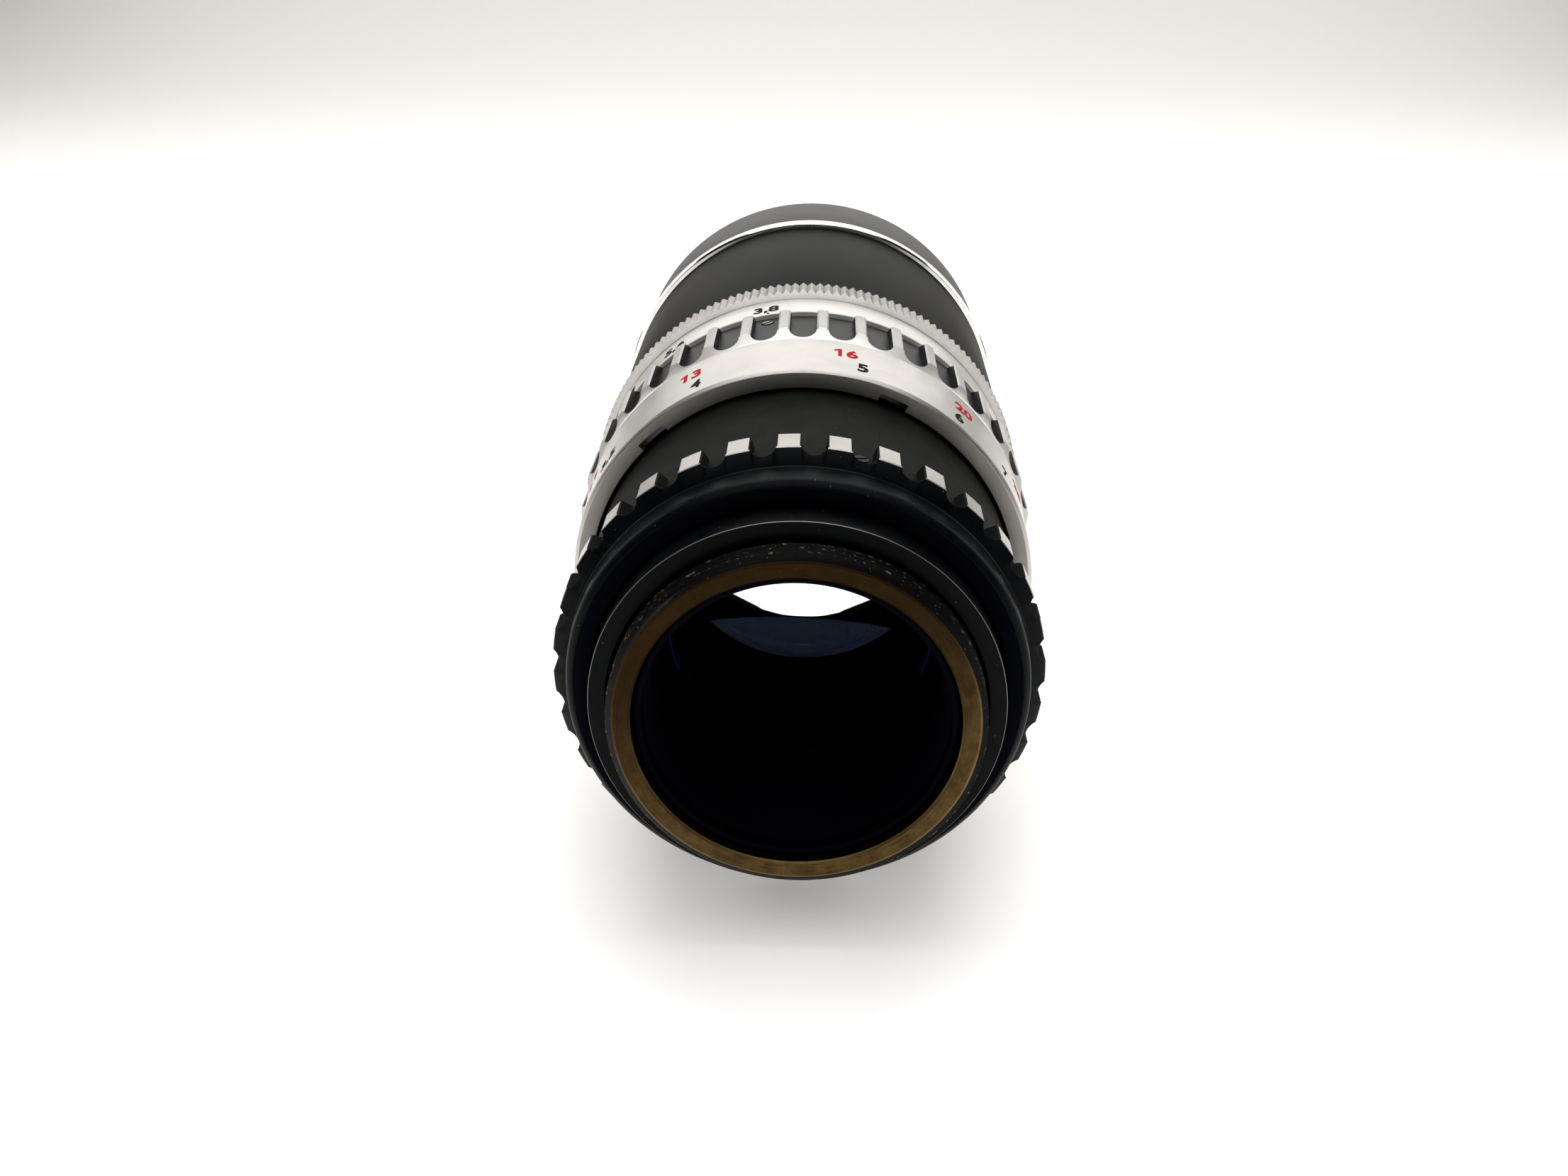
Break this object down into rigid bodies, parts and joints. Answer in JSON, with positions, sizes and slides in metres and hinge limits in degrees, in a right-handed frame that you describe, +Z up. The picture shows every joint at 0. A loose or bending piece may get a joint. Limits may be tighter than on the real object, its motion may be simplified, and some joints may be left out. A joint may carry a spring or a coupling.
{
  "type": "camera lens",
  "caption": "Screw-mount prime telephoto camera lens with a ribbed focusing ring, preset and aperture rings, a chrome trim ring, a bladed iris and a front hood.",
  "frame": {"origin": "under the middle of the lens, at ground level, with the lens lying on its side", "axes": "+Z up, +Y along the optical axis from the camera mount towards the front rim, +X to the right seen from the mount"},
  "size_m": [0.062, 0.1196, 0.062],
  "materials": {
    "brass": "aged satin brass",
    "black_metal": "satin black",
    "barrel_grey": "matt dark grey",
    "satin_silver": "satin, turned and milled",
    "front_black": "satin dark grey",
    "chrome": "polished",
    "hood_grey": "satin mid grey",
    "inner_black": "matt black, anti-reflection",
    "coated_glass": "clear with a blue coating",
    "steel": "plain steel",
    "blade_steel": "blued steel"
  },
  "bodies": {
    "fixed_body": {"mount_thread_ring": "brass", "mount_flange": "black_metal", "fixed_barrel": "barrel_grey", "rear_baffle": "inner_black", "mount_set_screw_1": "steel", "mount_set_screw_2": "steel", "mount_set_screw_3": "steel", "collar_set_screw_1": "black_metal", "collar_set_screw_2": "black_metal", "collar_set_screw_3": "black_metal", "guide_key": "steel", "guide_key_screw_1": "steel", "guide_key_screw_2": "steel"},
    "lens_unit": {"lens_tube": "inner_black", "focus_retaining_ring": "black_metal", "inner_baffle": "inner_black", "rear_cell": "inner_black", "rear_element": "coated_glass", "rear_retaining_ring": "inner_black", "front_cell": "inner_black", "third_element": "coated_glass", "third_retaining_ring": "inner_black", "second_element": "coated_glass", "cell_spacer": "inner_black", "front_element": "coated_glass", "front_retaining_ring": "inner_black", "front_barrel": "front_black", "trim_ring": "chrome", "name_ring": "inner_black", "front_hood": "hood_grey", "preset_click_ball": "steel", "preset_click_spring": "steel", "iris_base": "inner_black", "iris_retaining_ring": "inner_black"},
    "focus_ring": {"focus_sleeve": "satin_silver", "focus_helicoid": "brass", "sleeve_set_screw_1": "steel", "sleeve_set_screw_2": "steel", "sleeve_set_screw_3": "steel"},
    "preset_stop": {"preset_ring": "satin_silver", "preset_stop_pin": "steel"},
    "aperture_control": {"aperture_ring": "satin_silver", "iris_drive_pin": "steel", "iris_rotor": "blade_steel"},
    "blade_1": {"iris_blade_1": "blade_steel"},
    "blade_2": {"iris_blade_2": "blade_steel"},
    "blade_3": {"iris_blade_3": "blade_steel"},
    "blade_4": {"iris_blade_4": "blade_steel"},
    "blade_5": {"iris_blade_5": "blade_steel"},
    "blade_6": {"iris_blade_6": "blade_steel"},
    "blade_7": {"iris_blade_7": "blade_steel"},
    "blade_8": {"iris_blade_8": "blade_steel"},
    "blade_9": {"iris_blade_9": "blade_steel"}
  },
  "joints": [
    {"name": "lens_slide", "type": "slide", "parent": "fixed_body", "child": "lens_unit", "axis": [0, 1, 0], "range_m": [-0.00418, 0.00346]},
    {"name": "focus_turn", "type": "hinge", "parent": "lens_unit", "child": "focus_ring", "pos_m": [0, 0, 0.031], "axis": [0, 1, 0], "range_deg": [-178, 148]},
    {"name": "preset_turn", "type": "hinge", "parent": "lens_unit", "child": "preset_stop", "pos_m": [0, 0, 0.031], "axis": [0, 1, 0], "range_deg": [0, 70]},
    {"name": "aperture_turn", "type": "hinge", "parent": "lens_unit", "child": "aperture_control", "pos_m": [0, 0, 0.031], "axis": [0, 1, 0], "range_deg": [0, 70]},
    {"name": "blade_1_turn", "type": "hinge", "parent": "lens_unit", "child": "blade_1", "pos_m": [0, 0, 0.0521], "axis": [0, 1, 0], "range_deg": [0, 34.1]},
    {"name": "blade_2_turn", "type": "hinge", "parent": "lens_unit", "child": "blade_2", "pos_m": [0.01356, 0, 0.04716], "axis": [0, 1, 0], "range_deg": [0, 34.1]},
    {"name": "blade_3_turn", "type": "hinge", "parent": "lens_unit", "child": "blade_3", "pos_m": [0.02078, 0, 0.03466], "axis": [0, 1, 0], "range_deg": [0, 34.1]},
    {"name": "blade_4_turn", "type": "hinge", "parent": "lens_unit", "child": "blade_4", "pos_m": [0.01827, 0, 0.02045], "axis": [0, 1, 0], "range_deg": [0, 34.1]},
    {"name": "blade_5_turn", "type": "hinge", "parent": "lens_unit", "child": "blade_5", "pos_m": [0.00722, 0, 0.01117], "axis": [0, 1, 0], "range_deg": [0, 34.1]},
    {"name": "blade_6_turn", "type": "hinge", "parent": "lens_unit", "child": "blade_6", "pos_m": [-0.00722, 0, 0.01117], "axis": [0, 1, 0], "range_deg": [0, 34.1]},
    {"name": "blade_7_turn", "type": "hinge", "parent": "lens_unit", "child": "blade_7", "pos_m": [-0.01827, 0, 0.02045], "axis": [0, 1, 0], "range_deg": [0, 34.1]},
    {"name": "blade_8_turn", "type": "hinge", "parent": "lens_unit", "child": "blade_8", "pos_m": [-0.02078, 0, 0.03466], "axis": [0, 1, 0], "range_deg": [0, 34.1]},
    {"name": "blade_9_turn", "type": "hinge", "parent": "lens_unit", "child": "blade_9", "pos_m": [-0.01356, 0, 0.04716], "axis": [0, 1, 0], "range_deg": [0, 34.1]}
  ],
  "couplings": [
    {"joint": "focus_turn", "follows": "lens_slide", "rad_per_m": 730.6},
    {"joint": "blade_1_turn", "follows": "aperture_turn", "ratio": 0.48571},
    {"joint": "blade_2_turn", "follows": "aperture_turn", "ratio": 0.48571},
    {"joint": "blade_3_turn", "follows": "aperture_turn", "ratio": 0.48571},
    {"joint": "blade_4_turn", "follows": "aperture_turn", "ratio": 0.48571},
    {"joint": "blade_5_turn", "follows": "aperture_turn", "ratio": 0.48571},
    {"joint": "blade_6_turn", "follows": "aperture_turn", "ratio": 0.48571},
    {"joint": "blade_7_turn", "follows": "aperture_turn", "ratio": 0.48571},
    {"joint": "blade_8_turn", "follows": "aperture_turn", "ratio": 0.48571},
    {"joint": "blade_9_turn", "follows": "aperture_turn", "ratio": 0.48571}
  ]
}
